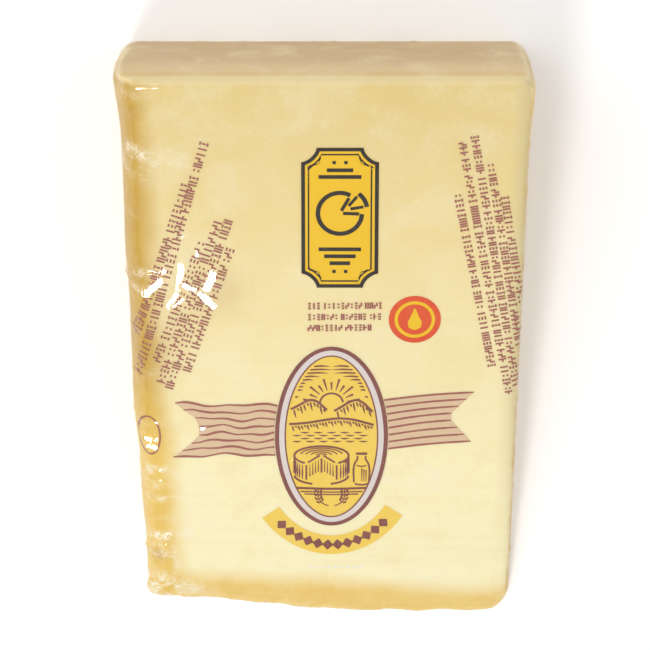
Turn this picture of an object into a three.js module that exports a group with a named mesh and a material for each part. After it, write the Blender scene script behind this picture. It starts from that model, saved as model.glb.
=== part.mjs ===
// A wedge of hard cheese in its shrunk clear bag, cut from a large drum-shaped wheel.
//
// The wheel is first sawn into two drums of half its height, and one drum into sixteen
// sectors. The wedge lies on one radial cut. The wheel's axis then runs along X, level
// with that cut: +Y points from the thin tip to the rind at the heel, and the rind of
// the drum's flat end is at +X. The bag clings to the cheese all round, so the pack is
// one closed solid with soft edges.
//
// The solid is a block in coordinates that follow the wheel: x across the wedge from its
// sawn wall, q towards the heel from its tip, and h, the arc length above the lower cut.
// Its edges are rounded there, and the block is then bent round the wheel's axis.

import * as THREE from "three";
import { mergeVertices } from "three/addons/utils/BufferGeometryUtils.js";

// Driving dimensions, in millimetres. The angle is in radians.
const WHEEL_RADIUS = 183;
const WIDTH = 120.5;
const SECTOR_ANGLE = Math.PI / 8;
const TIP_RADIUS = 7;
const RADIAL_LENGTH = WHEEL_RADIUS - TIP_RADIUS;

// Edges. A shoulder is wide across the broad upper face and deep down the wall. Near the
// tip the wedge is thin, and no rounding takes more than a share of its thickness.
const RIM_RADIUS = 5;
const SAWN_CORNER_RADIUS = 4.5;
const SAWN_SHOULDER_WIDE = 8;
const SAWN_SHOULDER_DEEP = 13;
const RIND_EDGE_RADIUS = 2.4;
const HEEL_EDGE_RADIUS = 3.4;
const TIP_SHOULDER_WIDE = 8;
const TIP_RIND_CORNER_RADIUS = 8;
const TIP_SAWN_CORNER_RADIUS = 2.2;
const BASE_EDGE_RADIUS = 1.8;
const SHOULDER_MOST_SHARE = 0.72;
const BASE_EDGE_MOST_SHARE = 0.12;

// The unevenness of a hand-broken piece that its film has pulled in at the thin end.
const TIP_SKEW = 5;
const TIP_SKEW_WIDTH = 75;
const TIP_SKEW_LENGTH = 60;
const TIP_SCALLOP = 0.7;
const TIP_SCALLOP_PITCH = 19;
const TIP_SCALLOP_LENGTH = 16;
const SAWN_LEAN = 3.4;
const SAWN_TAPER = 2.4;
const SAWN_TAPER_LENGTH = 75;
const RIND_LEAN = 3.2;
const HEEL_FLARE = 1.2;
const HEEL_FLARE_LENGTH = 24;
const WALL_RIPPLE = 0.35;
const WALL_RIPPLE_PITCH = 46;
const WALL_RIPPLE_DEPTH = 24;
const FACE_SWELL = 0.4;
const FACE_SWELL_PITCH = 95;
const FACE_SWELL_FREE_TIP = 20;

// How finely the block is divided, in its first band, its middle and its last band.
const ACROSS = { total: WIDTH, first: SAWN_SHOULDER_WIDE, last: RIM_RADIUS, steps: [5, 18, 4] };
const ALONG = { total: RADIAL_LENGTH, first: TIP_SHOULDER_WIDE, last: RIM_RADIUS, steps: [6, 26, 4] };
const THICKNESS = { total: 1, first: 0.05, last: 0.24, steps: [1, 6, 5] };

const OPPOSITE = { sawn: "rind", rind: "sawn", tip: "heel", heel: "tip", base: "top", top: "base" };
const { clamp, smoothstep } = THREE.MathUtils;

// The distances at which one edge of the block is divided.
function stations({ total, first, last, steps }) {
  const bands = [0, first, total - last, total];
  const list = [0];
  steps.forEach((count, band) => {
    const span = bands[band + 1] - bands[band];
    for (let step = 1; step <= count; step++) list.push(bands[band] + (span * step) / count);
  });
  return list;
}

// Rounds the edge between two faces. A point is given by its distances inwards from the
// faces, and the rounding reaches sizeA and sizeB. Each L-shaped layer of the corner
// becomes an arc, so that points inside the solid move along with its surface.
function roundEdge(distanceA, distanceB, sizeA, sizeB) {
  const a = distanceA / sizeA;
  const b = distanceB / sizeB;
  if (Math.max(a, b) >= 1) return [distanceA, distanceB];
  const layer = Math.min(a, b);
  const turn = (Math.PI / 4) * (1 + (b - a) / (1 - layer));
  return [
    sizeA * (1 - (1 - layer) * Math.sin(turn)),
    sizeB * (1 - (1 - layer) * Math.cos(turn)),
  ];
}

// Rounds the block's twelve edges. A point of the block is held as its distances inwards
// from the six faces, and the thickness is the block's own at that point.
function roundBlock(distance, thickness) {
  const shoulder = (size) => Math.min(size, SHOULDER_MOST_SHARE * thickness);
  const baseEdge = Math.min(BASE_EDGE_RADIUS, BASE_EDGE_MOST_SHARE * thickness);
  const edges = [
    ["sawn", "top", SAWN_SHOULDER_WIDE, shoulder(SAWN_SHOULDER_DEEP)],
    ["rind", "top", RIND_EDGE_RADIUS, shoulder(RIND_EDGE_RADIUS)],
    ["heel", "top", HEEL_EDGE_RADIUS, shoulder(HEEL_EDGE_RADIUS)],
    ["tip", "top", TIP_SHOULDER_WIDE, shoulder(thickness)],
    ["sawn", "base", BASE_EDGE_RADIUS, baseEdge],
    ["rind", "base", BASE_EDGE_RADIUS, baseEdge],
    ["heel", "base", BASE_EDGE_RADIUS, baseEdge],
    ["tip", "base", BASE_EDGE_RADIUS, baseEdge],
    ["sawn", "heel", SAWN_CORNER_RADIUS, SAWN_CORNER_RADIUS],
    ["rind", "heel", RIM_RADIUS, RIM_RADIUS],
    ["rind", "tip", TIP_RIND_CORNER_RADIUS, TIP_RIND_CORNER_RADIUS],
    ["sawn", "tip", TIP_SAWN_CORNER_RADIUS, TIP_SAWN_CORNER_RADIUS],
  ];
  for (const [faceA, faceB, sizeA, sizeB] of edges) {
    const rounded = roundEdge(distance[faceA], distance[faceB], sizeA, sizeB);
    [faceA, faceB].forEach((face, side) => {
      distance[OPPOSITE[face]] += distance[face] - rounded[side];
      distance[face] = rounded[side];
    });
  }
}

// A wave between -1 and 1 whose crests wander, so that it doesn't look machined.
function wanderingWave(along, across, pitch) {
  const turn = (2 * Math.PI * along) / pitch;
  return 0.65 * Math.sin(turn + Math.sin((3 * across) / pitch)) + 0.35 * Math.sin(1.7 * turn + 2.1);
}

// The broken tip runs back towards the sawn wall and is scalloped.
function tipOffset(x, q) {
  const skew = (1 - smoothstep(x, 0, TIP_SKEW_WIDTH)) * (1 - smoothstep(q, 0, TIP_SKEW_LENGTH));
  const scallop = wanderingWave(x, q, TIP_SCALLOP_PITCH) * (1 - smoothstep(q, 0, TIP_SCALLOP_LENGTH));
  return TIP_SKEW * skew + TIP_SCALLOP * scallop;
}

// Both walls lean in towards the tip and flare a little at the rim. The sawn one isn't
// quite flat.
function wallOffset(x, q, h) {
  const fromHeel = 1 - q / RADIAL_LENGTH;
  const flare = HEEL_FLARE * smoothstep(q, RADIAL_LENGTH - HEEL_FLARE_LENGTH, RADIAL_LENGTH);
  const taper = SAWN_TAPER * (1 - smoothstep(q, 0, SAWN_TAPER_LENGTH));
  const sawn = SAWN_LEAN * fromHeel + taper - flare;
  const rind = RIND_LEAN * fromHeel - flare;
  const ripple = WALL_RIPPLE * (1 + wanderingWave(q, h, WALL_RIPPLE_PITCH));
  const acrossShare = x / WIDTH;
  const lean = sawn * (1 - acrossShare) - rind * acrossShare;
  return lean + ripple * clamp(1 - x / WALL_RIPPLE_DEPTH, 0, 1);
}

// The upper cut swells and dips a little. The lower cut and the tip stay as they are.
function faceOffset(x, q, thicknessShare) {
  const amount = smoothstep(thicknessShare, 0.5, 1) * smoothstep(q, 0, FACE_SWELL_FREE_TIP);
  return FACE_SWELL * amount * wanderingWave(q, x, FACE_SWELL_PITCH);
}

// Carries a point of the block to its place on the wedge.
function wedgePoint(blockX, blockQ, blockShare) {
  const thickness = (TIP_RADIUS + blockQ) * SECTOR_ANGLE;
  const distance = {
    sawn: blockX,
    rind: WIDTH - blockX,
    tip: blockQ,
    heel: RADIAL_LENGTH - blockQ,
    base: blockShare * thickness,
    top: (1 - blockShare) * thickness,
  };
  roundBlock(distance, thickness);
  const { sawn: x, tip: q, base: h } = distance;
  const share = h / thickness;
  const radius = TIP_RADIUS + q + tipOffset(x, q);
  const angle = share * SECTOR_ANGLE + faceOffset(x, q, share) / radius;
  return [x + wallOffset(x, q, h), radius * Math.cos(angle), radius * Math.sin(angle)];
}

function wedgeGeometry() {
  const lists = [ACROSS, ALONG, THICKNESS].map(stations);
  const steps = lists.map((list) => list.length - 1);
  const block = new THREE.BoxGeometry(1, 1, 1, ...steps).translate(0.5, 0.5, 0.5);
  block.deleteAttribute("normal");
  block.deleteAttribute("uv");

  const geometry = mergeVertices(block);
  const position = geometry.attributes.position;
  for (let index = 0; index < position.count; index++) {
    const shares = [position.getX(index), position.getY(index), position.getZ(index)];
    const place = shares.map((share, axis) => lists[axis][Math.round(share * steps[axis])]);
    position.setXYZ(index, ...wedgePoint(...place));
  }

  geometry.computeBoundingBox();
  const { min, max } = geometry.boundingBox;
  geometry.translate(-(min.x + max.x) / 2, -(min.y + max.y) / 2, -min.z);
  geometry.computeVertexNormals();
  return geometry;
}

function wrappedWedge() {
  const material = new THREE.MeshStandardMaterial({ color: 0xf3e0ac, roughness: 0.35, metalness: 0 });
  const mesh = new THREE.Mesh(wedgeGeometry(), material);
  mesh.name = "wrapped_cheese_wedge";
  return mesh;
}

const pack = new THREE.Group();
pack.add(wrappedWedge());

export default pack;
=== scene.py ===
"""A wedge of hard cheese, shrunk into a clear printed bag, lying on one of its cut faces.

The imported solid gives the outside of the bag. The cheese is that shape a little smaller,
the bag's film is that shape with its wrinkles, and the print lies in thin layers of ink
between the two.

Places on the upper cut face are given as u, the distance to the right of its middle, and
v, the distance from the wheel's axis towards the rind at the heel. Both are in millimetres.
"""

import math
import random
from contextlib import contextmanager

import bpy
import numpy as np
from mathutils import Matrix, Vector, noise


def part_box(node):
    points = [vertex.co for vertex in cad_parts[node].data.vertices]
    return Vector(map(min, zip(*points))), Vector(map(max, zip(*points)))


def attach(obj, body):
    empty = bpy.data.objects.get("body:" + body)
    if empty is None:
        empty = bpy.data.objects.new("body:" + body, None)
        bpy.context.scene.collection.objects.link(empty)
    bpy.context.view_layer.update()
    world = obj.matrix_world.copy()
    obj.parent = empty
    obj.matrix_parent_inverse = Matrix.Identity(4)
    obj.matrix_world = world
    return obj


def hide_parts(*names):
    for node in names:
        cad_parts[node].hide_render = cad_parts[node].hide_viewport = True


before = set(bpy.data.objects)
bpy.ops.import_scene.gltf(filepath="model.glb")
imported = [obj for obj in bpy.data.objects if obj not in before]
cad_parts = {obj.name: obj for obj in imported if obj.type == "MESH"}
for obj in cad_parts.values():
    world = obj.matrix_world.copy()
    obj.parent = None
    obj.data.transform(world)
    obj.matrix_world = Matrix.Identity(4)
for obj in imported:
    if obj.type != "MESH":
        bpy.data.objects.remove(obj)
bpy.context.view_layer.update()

MM = 0.001
NODE = "wrapped_cheese_wedge"
BODY = "root"

# The wheel that the wedge was cut from. The wheel's axis runs along X, level with the
# lower cut face.
WHEEL_RADIUS = 183
SECTOR_ANGLE = math.radians(22.5)
TIP_RADIUS = 7
WHEEL_AXIS_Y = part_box(NODE)[1].y / MM - WHEEL_RADIUS
FACE_PLACE = Matrix.Translation((0, WHEEL_AXIS_Y * MM, 0)) @ Matrix.Rotation(SECTOR_ANGLE, 4, "X")

# The two side walls come closer to each other towards the tip. Each is given by its x at
# the wheel's axis and by how far that moves for each millimetre towards the heel.
SAWN_WALL = (-54.2, -0.033)
RIND_WALL = (56.9, 0.0182)

# The camera and the small lamp that the film mirrors. Their places are in millimetres.
CAMERA_PLACE = (0.46, 44.3, 930.6)
CAMERA_TILT = math.radians(-2.684)
CAMERA_VIEW = math.radians(12.316)
GLINT_LAMP = (-290, -570, 1120)

# Depths of the layers under the bag's outside.
FINE_INK_DEPTH = 0.12
BROAD_INK_DEPTH = 0.20
INK_THICKNESS = 0.05
CHEESE_DEPTH = 0.35


# ---------------------------------------------------------------- working by hand

# Vertices that are closer than this become one.
MERGE_GAP = 0.001 * MM


def only(piece):
    bpy.ops.object.select_all(action="DESELECT")
    piece.select_set(True)
    bpy.context.view_layer.objects.active = piece


@contextmanager
def editing(piece, mode="FACE", chosen=None):
    """Edit mode on one piece, with all of it selected, or only the chosen edges or faces."""
    only(piece)
    bpy.ops.object.mode_set(mode="EDIT")
    bpy.ops.mesh.select_mode(type=mode)
    bpy.ops.mesh.select_all(action="SELECT" if chosen is None else "DESELECT")
    if chosen is not None:
        bpy.ops.object.mode_set(mode="OBJECT")
        parts = piece.data.edges if mode == "EDGE" else piece.data.polygons
        parts.foreach_set("select", chosen)
        bpy.ops.object.mode_set(mode="EDIT")
    yield
    bpy.ops.object.mode_set(mode="OBJECT")


def finish_with(piece, kind, **settings):
    """Adds a modifier to the piece and applies it."""
    only(piece)
    modifier = piece.modifiers.new(kind.lower(), kind)
    for setting, value in settings.items():
        setattr(modifier, setting, value)
    bpy.ops.object.modifier_apply(modifier=modifier.name)


def copy_of(piece, name):
    twin = bpy.data.objects.new(name, piece.data.copy())
    bpy.context.collection.objects.link(twin)
    return twin


def join(pieces, name):
    only(pieces[0])
    for piece in pieces[1:]:
        piece.select_set(True)
    if len(pieces) > 1:
        bpy.ops.object.join()
    pieces[0].name = name
    return pieces[0]


def vectors(items, what):
    """A row of three values for each vertex, normal or face."""
    values = np.empty(len(items) * 3, np.float32)
    items.foreach_get(what, values)
    return values.reshape(-1, 3).astype(float)


def coordinates(piece):
    return vectors(piece.data.vertices, "co")


def place_vertices(piece, places):
    piece.data.vertices.foreach_set("co", places.astype(np.float32).ravel())
    piece.data.update()


def add_attribute(piece, name, values):
    attribute = piece.data.attributes.new(name, "FLOAT", "POINT")
    attribute.data.foreach_set("value", values.astype(np.float32))


# ---------------------------------------------------------------- the pack's shape

# How uneven a quad may be that is made from two triangles.
QUAD_ANGLE = math.radians(60)


def smooth_pack(levels):
    """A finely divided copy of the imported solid, as quads."""
    piece = copy_of(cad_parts[NODE], "smooth_pack")
    piece.data.materials.clear()
    with editing(piece, "VERT"):
        bpy.ops.mesh.customdata_custom_splitnormals_clear()
        bpy.ops.mesh.remove_doubles(threshold=MERGE_GAP)
        bpy.ops.mesh.tris_convert_to_quads(face_threshold=QUAD_ANGLE, shape_threshold=QUAD_ANGLE)
    finish_with(piece, "SUBSURF", levels=levels, render_levels=levels)
    bpy.ops.object.shade_smooth()
    return piece


class Places:
    """Where each vertex lies in the wedge, in millimetres: across it, along it from the
    wheel's axis, up from the lower cut face, and inwards from each of the other faces."""

    def __init__(self, piece):
        x, y, z = (coordinates(piece) / MM).T
        radius = np.hypot(y - WHEEL_AXIS_Y, z)
        angle = np.arctan2(z, y - WHEEL_AXIS_Y)
        self.across = x
        self.along = radius
        self.above = angle * radius
        self.top = (SECTOR_ANGLE - angle) * radius
        self.heel = WHEEL_RADIUS - radius
        self.tip = radius - TIP_RADIUS
        self.sawn = x - (SAWN_WALL[0] + SAWN_WALL[1] * radius)
        self.rind = RIND_WALL[0] + RIND_WALL[1] * radius - x

    def gap_to(self, u, v, half_width=1, half_length=1):
        """The distance from a point of the face, counted in the half axes of an oval."""
        return np.hypot((self.across - u) / half_width, (self.along - v) / half_length)

    def gap_to_line(self, start_u, start_v, end_u, end_v):
        """The distance from a line on the face, and how far along it the nearest point is."""
        start, run = np.array([start_u, start_v]), np.array([end_u - start_u, end_v - start_v])
        offset = np.stack([self.across, self.along], axis=1) - start
        share = ((offset @ run) / (run @ run)).clip(0, 1)
        return np.hypot(*(offset - share[:, None] * run).T), share


def noise_field(piece, size, seed):
    """Smooth noise between about -1 and 1, with lumps of the given size."""
    shift = Vector((seed, 2.7 * seed, 0))
    places = coordinates(piece) / (size * MM)
    return np.array([noise.noise(Vector(place) + shift) for place in places])


REFINE_ROUNDS = 6


def refine(piece, longest, chosen):
    """Halves the edges in the chosen zone until none is longer than that."""
    for _ in range(REFINE_ROUNDS):
        mesh = piece.data
        ends = np.empty(len(mesh.edges) * 2, np.int32)
        mesh.edges.foreach_get("vertices", ends)
        ends = ends.reshape(-1, 2)
        run = np.diff(coordinates(piece)[ends], axis=1)[:, 0]
        inside = chosen(Places(piece))[ends].all(axis=1)
        long_ones = inside & (np.linalg.norm(run, axis=1) > longest * MM)
        if not long_ones.any():
            break
        with editing(piece, "EDGE", long_ones):
            bpy.ops.mesh.subdivide(number_cuts=1)


# ---------------------------------------------------------------- materials

def colour(hexadecimal):
    """A paint colour from its usual six digits, as the shader's linear values."""
    shares = [int(hexadecimal[i:i + 2], 16) / 255 for i in (0, 2, 4)]
    linear = [s / 12.92 if s <= 0.04045 else ((s + 0.055) / 1.055) ** 2.4 for s in shares]
    return (*linear, 1)


BUMP_STRENGTH = 0.3


class Shader:
    """Adds nodes to a material or a node group. A socket given as an input is linked, and
    a tone is a socket or a colour's six digits."""

    def __init__(self, tree):
        self.tree = tree

    def add(self, kind, inputs=None, **settings):
        made = self.tree.nodes.new(kind)
        for setting, value in settings.items():
            setattr(made, setting, value)
        for socket, value in (inputs or {}).items():
            if isinstance(value, bpy.types.NodeSocket):
                self.tree.links.new(value, made.inputs[socket])
            else:
                made.inputs[socket].default_value = value
        return made

    def object_place(self):
        return self.add("ShaderNodeTexCoord").outputs["Object"]

    def attribute(self, name):
        return self.add("ShaderNodeAttribute", attribute_name=name).outputs["Fac"]

    def group(self, tree, inputs):
        return self.add("ShaderNodeGroup", inputs, node_tree=tree).outputs[0]

    def math(self, operation, *values, clamp=False):
        inputs = dict(enumerate(values))
        return self.add("ShaderNodeMath", inputs, operation=operation, use_clamp=clamp).outputs[0]

    def fade(self, value, start, end, low=0.0, high=1.0):
        """A smooth step from low at start to high at end."""
        inputs = {"Value": value, "From Min": start, "From Max": end, "To Min": low, "To Max": high}
        return self.add("ShaderNodeMapRange", inputs, interpolation_type="SMOOTHSTEP").outputs[0]

    def blend(self, share, first, second):
        first, second = [colour(tone) if isinstance(tone, str) else tone for tone in (first, second)]
        inputs = {"Factor": share, 6: first, 7: second}
        return self.add("ShaderNodeMix", inputs, data_type="RGBA").outputs[2]

    def tint(self, base, tone, value, start, end, most=1.0):
        """Lays a tone over the base, from none of it at start to the most of it at end."""
        return self.blend(self.fade(value, start, end, 0.0, most), base, tone)

    def ramp(self, value, stops):
        """Goes through the stops' tones as the value goes from 0 to 1."""
        made = self.add("ShaderNodeValToRGB", {"Fac": value})
        elements = made.color_ramp.elements
        while len(elements) < len(stops):
            elements.new(0.5)
        for element, (position, tone) in zip(elements, stops):
            element.position = position
            element.color = colour(tone)
        return made.outputs["Color"]

    def noise(self, place, size, detail=2.0, rough=0.5, distortion=0.0):
        """Noise whose lumps are about size millimetres across."""
        inputs = {"Vector": place, "Scale": 1 / (size * MM), "Detail": detail,
                  "Roughness": rough, "Distortion": distortion}
        return self.add("ShaderNodeTexNoise", inputs).outputs["Fac"]

    def stretched(self, place, stretch):
        return self.add("ShaderNodeMapping", {"Vector": place, "Scale": stretch}).outputs[0]

    def bump(self, height, distance):
        """The normal of a low relief, which the distance in millimetres scales."""
        inputs = {"Height": height, "Strength": BUMP_STRENGTH, "Distance": distance * MM}
        return self.add("ShaderNodeBump", inputs).outputs[0]

    def surface(self, made):
        """Ends the material in that shader."""
        self.add("ShaderNodeOutputMaterial", {"Surface": made.outputs[0]})


def new_material(name):
    material = bpy.data.materials.new(name)
    material.use_nodes = True
    material.node_tree.nodes.clear()
    return material, Shader(material.node_tree)


def new_group(name, inputs, output):
    """A node group with a vector called Place, float inputs and one float output."""
    tree = bpy.data.node_groups.new(name, "ShaderNodeTree")
    tree.interface.new_socket("Place", in_out="INPUT", socket_type="NodeSocketVector")
    for socket, value in inputs.items():
        made = tree.interface.new_socket(socket, in_out="INPUT", socket_type="NodeSocketFloat")
        made.default_value = value
    tree.interface.new_socket(output, in_out="OUTPUT", socket_type="NodeSocketFloat")
    shader = Shader(tree)
    return tree, shader, shader.add("NodeGroupInput").outputs


# How many times finer than the clouds the grain is.
GRAIN_FINENESS = 9.0


def soft_mottle_group():
    """Cloudy light and dark patches with a finer grain over them, around 0.5."""
    tree, shader, given = new_group("Soft mottle", {"Cloud size": 14, "Grain share": 0.3}, "Mottle")
    scale = shader.math("DIVIDE", 1 / MM, given["Cloud size"])
    cloud = shader.add("ShaderNodeTexNoise", {"Vector": given["Place"], "Scale": scale,
                                              "Detail": 3.0, "Distortion": 0.6}).outputs["Fac"]
    fine_scale = shader.math("MULTIPLY", scale, GRAIN_FINENESS)
    grain = shader.add("ShaderNodeTexNoise", {"Vector": given["Place"], "Scale": fine_scale,
                                              "Detail": 2.0}).outputs["Fac"]
    inputs = {"Factor": given["Grain share"], "A": cloud, "B": grain}
    mixed = shader.add("ShaderNodeMix", inputs, data_type="FLOAT").outputs[0]
    shader.add("NodeGroupOutput", {"Mottle": mixed})
    return tree


# How much an ink's wear lowers the level where it's gone, and how soft that edge is.
WEAR_REACH = 0.35
WEAR_SOFTNESS = 0.16


def ink_wear_group():
    """Pinholes and thin places, from 0 where the ink covers to 1 where it's bare."""
    tree, shader, given = new_group("Ink wear", {"Amount": 0.3}, "Wear")
    pinholes = shader.noise(given["Place"], 0.55, detail=1.0)
    patches = shader.noise(given["Place"], 6)
    # Darker spots on the cheese: u, v, size, strength. The first is painted shade, standing in for a
    # shallow hollow under the film.
    level = shader.math("MULTIPLY_ADD", patches, 0.5, pinholes)
    edge = shader.math("MULTIPLY_ADD", given["Amount"], -WEAR_REACH, 1.0)
    wear = shader.fade(level, edge, shader.math("ADD", edge, WEAR_SOFTNESS))
    shader.add("NodeGroupOutput", {"Wear": wear})
    return tree


SOFT_MOTTLE = soft_mottle_group()
INK_WEAR = ink_wear_group()

# The paste's colour, from the wheel's axis to the rind.
PASTE_TONES = [(0.0, "FFF4C6"), (0.32, "FFF2C0"), (0.55, "F9E7AE"), (0.75, "F2DC9B"),
               (0.92, "EAD28D"), (1.0, "E7CF88")]

# How far the cloudy patches shift the paste's colours, and how far noise shifts the edges of
# the golden zone.
PATCH_REACH = 24 * MM
EDGE_REACH = 4 * MM

# How much further from the tip the gold reaches for each millimetre to the left.
GOLD_SLANT = 0.06


class CheeseZones:
    """What the parts of the cheese's material share: where a point lies and how far it is
    from the faces, its noises, the share of skin there, and the dark gold of the sawn side,
    which is partly painted shade of its sloping shoulder."""

    def __init__(self, shader):
        self.place = shader.object_place()
        inputs = {"Vector": self.place, "Scale": (0, 1, 1), "Location": (0, -WHEEL_AXIS_Y * MM, 0)}
        radial = shader.add("ShaderNodeMapping", inputs).outputs[0]
        length = shader.add("ShaderNodeVectorMath", {0: radial}, operation="LENGTH")
        self.radius = length.outputs["Value"]
        self.x, _, self.z = shader.add("ShaderNodeSeparateXYZ", {0: self.place}).outputs

        mottle = {"Place": self.place, "Cloud size": 15, "Grain share": 0.25}
        self.mottle = shader.group(SOFT_MOTTLE, mottle)
        self.patches = shader.math("SUBTRACT", self.mottle, 0.5)
        self.cloudy = shader.fade(self.mottle, 0.35, 0.65)
        self.rind_grain = shader.noise(self.place, 1.0, detail=4.0, rough=0.65)
        along_x = shader.stretched(self.place, (0.25, 1, 1))
        self.scuffs = shader.noise(along_x, 6, detail=3.0, distortion=0.8)

        edge_noise = shader.math("SUBTRACT", shader.noise(self.place, 13), 0.5)
        sawn_x = shader.math("MULTIPLY_ADD", self.radius, SAWN_WALL[1], SAWN_WALL[0] * MM)
        self.from_sawn = shader.math("SUBTRACT", self.x, sawn_x)
        uneven = shader.math("MULTIPLY_ADD", edge_noise, EDGE_REACH, self.from_sawn)
        wider_at_tip = shader.fade(self.radius, 90 * MM, 60 * MM, 0.0, 3 * MM)
        self.uneven_from_sawn = shader.math("SUBTRACT", uneven, wider_at_tip)
        from_tip = shader.math("SUBTRACT", self.radius, TIP_RADIUS * MM)
        uneven = shader.math("MULTIPLY_ADD", edge_noise, EDGE_REACH, from_tip)
        self.uneven_from_tip = shader.math("MULTIPLY_ADD", self.x, GOLD_SLANT, uneven)

        self.from_heel = shader.math("SUBTRACT", WHEEL_RADIUS * MM, self.radius)
        rind_x = shader.math("MULTIPLY_ADD", self.radius, RIND_WALL[1], RIND_WALL[0] * MM)
        self.from_rind = shader.math("SUBTRACT", rind_x, self.x)
        depth = shader.math("SMOOTH_MIN", self.from_heel, self.from_rind, 2 * MM)
        depth = shader.math("MULTIPLY_ADD", self.patches, 2 * MM, depth)
        self.skin = shader.fade(depth, 1.3 * MM, 0.2 * MM)
        # Dark gold for the sawn side, partly painted shade of its sloping shoulder.
        self.dark_gold_and_shade = shader.blend(self.cloudy, "CBA038", "D3AA45")


def paste_tone(shader, zones):
    """Cream, with cloudy patches and the faint level streaks of the wire that cut it."""
    reach = shader.math("MULTIPLY_ADD", zones.patches, PATCH_REACH, zones.radius)
    share = shader.math("DIVIDE", reach, WHEEL_RADIUS * MM, clamp=True)
    tone = shader.ramp(share, PASTE_TONES)
    tone = shader.tint(tone, "FFF6DA", zones.mottle, 0.42, 0.7, 0.27)
    tone = shader.tint(tone, "EBCF8C", zones.mottle, 0.5, 0.3, 0.2)
    streaks = shader.noise(shader.stretched(zones.place, (0.06, 1, 1)), 2.2, detail=1.0)
    return shader.tint(tone, "F1DA9C", streaks, 0.35, 0.85, 0.14)


def golden_edges(shader, zones, tone):
    """The golden zone beside the tip and the sawn wall, and the darker spots. The darker gold
    along the sawn wall is partly painted shade, and one spot is painted shade of a hollow.
    """
    tip_gold = shader.blend(zones.cloudy, "EFCA70", "F2D280")
    tone = shader.tint(tone, tip_gold, zones.uneven_from_tip, 15.5 * MM, 7 * MM)
    light_gold = shader.blend(zones.cloudy, "EAC25A", "EFCB6C")
    # The darker gold along the sawn wall is partly painted shade of its sloping shoulder.
    sawn_gold_and_shade = shader.tint(zones.dark_gold_and_shade, light_gold, zones.radius, 100 * MM, 62 * MM)
    tone = shader.tint(tone, sawn_gold_and_shade, zones.uneven_from_sawn, 12.5 * MM, 3.5 * MM)
    # Darker spots; the first is painted shade of a shallow hollow.
    return shader.blend(shader.attribute("spots_and_shade"), tone, "C39A4C")


def dull_rind_side_and_lit_heel_rim(shader, zones, tone):
    """Beside the rind the paste is darker and duller, more so towards the heel, and the heel's
    rim is lightened: painted light where its shoulder turns away from the lamps.
    """
    # Darker and duller beside the rind, more so towards the heel.
    duller_beside_rind = shader.math("MULTIPLY", shader.fade(zones.from_rind, 7 * MM, 0.5 * MM, 0.0, 0.75),
                      shader.fade(zones.radius, 10 * MM, 115 * MM, 0.1, 1.0))
    tone = shader.blend(duller_beside_rind, tone, "D6C592")
    # Painted highlight on the heel's rim, whose shoulder the lamps leave in shade.
    return shader.tint(tone, "FFE9B4", zones.from_heel, 3.0 * MM, 0.6 * MM, 0.9)


def skin_tone_and_painted_light(shader, zones):
    """The tan skin of the rind, scuffed, and lighter near its upper edge, which is painted light
    where the rounded top turns away from the lamps.
    """
    tone = shader.blend(zones.rind_grain, "CBA056", "E0BB78")
    tone = shader.tint(tone, "B98F50", zones.scuffs, 0.55, 0.75, 0.35)
    tone = shader.tint(tone, "E8CB90", zones.mottle, 0.5, 0.8, 0.5)
    # The same dark gold on the skin by the sawn wall, partly painted shade.
    tone = shader.tint(tone, zones.dark_gold_and_shade, zones.uneven_from_sawn, 14 * MM, 2 * MM, 0.6)
    # Painted light: the rind's upper part is lightened towards its rim, which the lamps leave in shade.
    tone = shader.tint(tone, "F2CC78", zones.z, 48 * MM, 67 * MM, 0.75)
    return shader.tint(tone, "FFEBB8", zones.z, 65.5 * MM, 68.5 * MM, 0.85)


def pale_threads(shader, zones, tone):
    """Paints the creased film's pale look on the cheese, with fine threads through the paleness.
    It is partly the film's haze and partly painted reflection of its creases and of the glare round
    the glints.
    """
    along_x = shader.stretched(zones.place, (0.5, 1, 1))
    crinkle = shader.noise(along_x, 2.4, detail=3.0, distortion=1.0)
    from_thread = shader.math("ABSOLUTE", shader.math("SUBTRACT", crinkle, 0.5))
    thread = shader.fade(from_thread, 0.06, 0.0, 0.55, 1.7)
    # The paleness is partly painted reflection of the film's creases.
    film_haze_and_reflection = shader.math("MULTIPLY", shader.attribute("film_haze_and_reflection"), thread, clamp=True)
    return shader.blend(film_haze_and_reflection, tone, "FDF3D8")


def cheese_relief(shader, zones):
    """A fine grain all over, a rougher skin, and a crumbly sawn wall."""
    grain = shader.noise(zones.place, 0.8, detail=3.0)
    scuffed = shader.math("ADD", zones.rind_grain, zones.scuffs)
    relief = shader.math("MULTIPLY_ADD", shader.math("MULTIPLY", scuffed, zones.skin), 1.2, grain)
    crumbs = shader.noise(zones.place, 2.6, detail=5.0, rough=0.7)
    sawn = shader.fade(zones.from_sawn, 2.5 * MM, 0.8 * MM)
    return shader.math("MULTIPLY_ADD", shader.math("MULTIPLY", crumbs, sawn), 4.0, relief)


def cheese_material():
    """Cream paste, darker towards the rind, golden beside the tip and the sawn wall. The darker
    gold along the sawn wall is partly painted shade, and the rind's upper edge and the heel's rim
    are lightened with painted light.
    """
    material, shader = new_material("hard cheese")
    zones = CheeseZones(shader)
    paste = dull_rind_side_and_lit_heel_rim(shader, zones, golden_edges(shader, zones, paste_tone(shader, zones)))
    tone = shader.blend(zones.skin, paste, skin_tone_and_painted_light(shader, zones))
    tone = pale_threads(shader, zones, tone)
    normal = shader.bump(cheese_relief(shader, zones), 0.2)
    shader.surface(shader.add("ShaderNodeBsdfPrincipled", {
        "Base Color": tone, "Roughness": 0.55, "Specular IOR Level": 0.25,
        "Subsurface Weight": 0.12, "Subsurface Radius": (1.0, 0.7, 0.35),
        "Subsurface Scale": 2 * MM, "Normal": normal}))
    return material


# The middle of the film's two noises together.
FILM_NOISE_MIDDLE = 0.57


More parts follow.
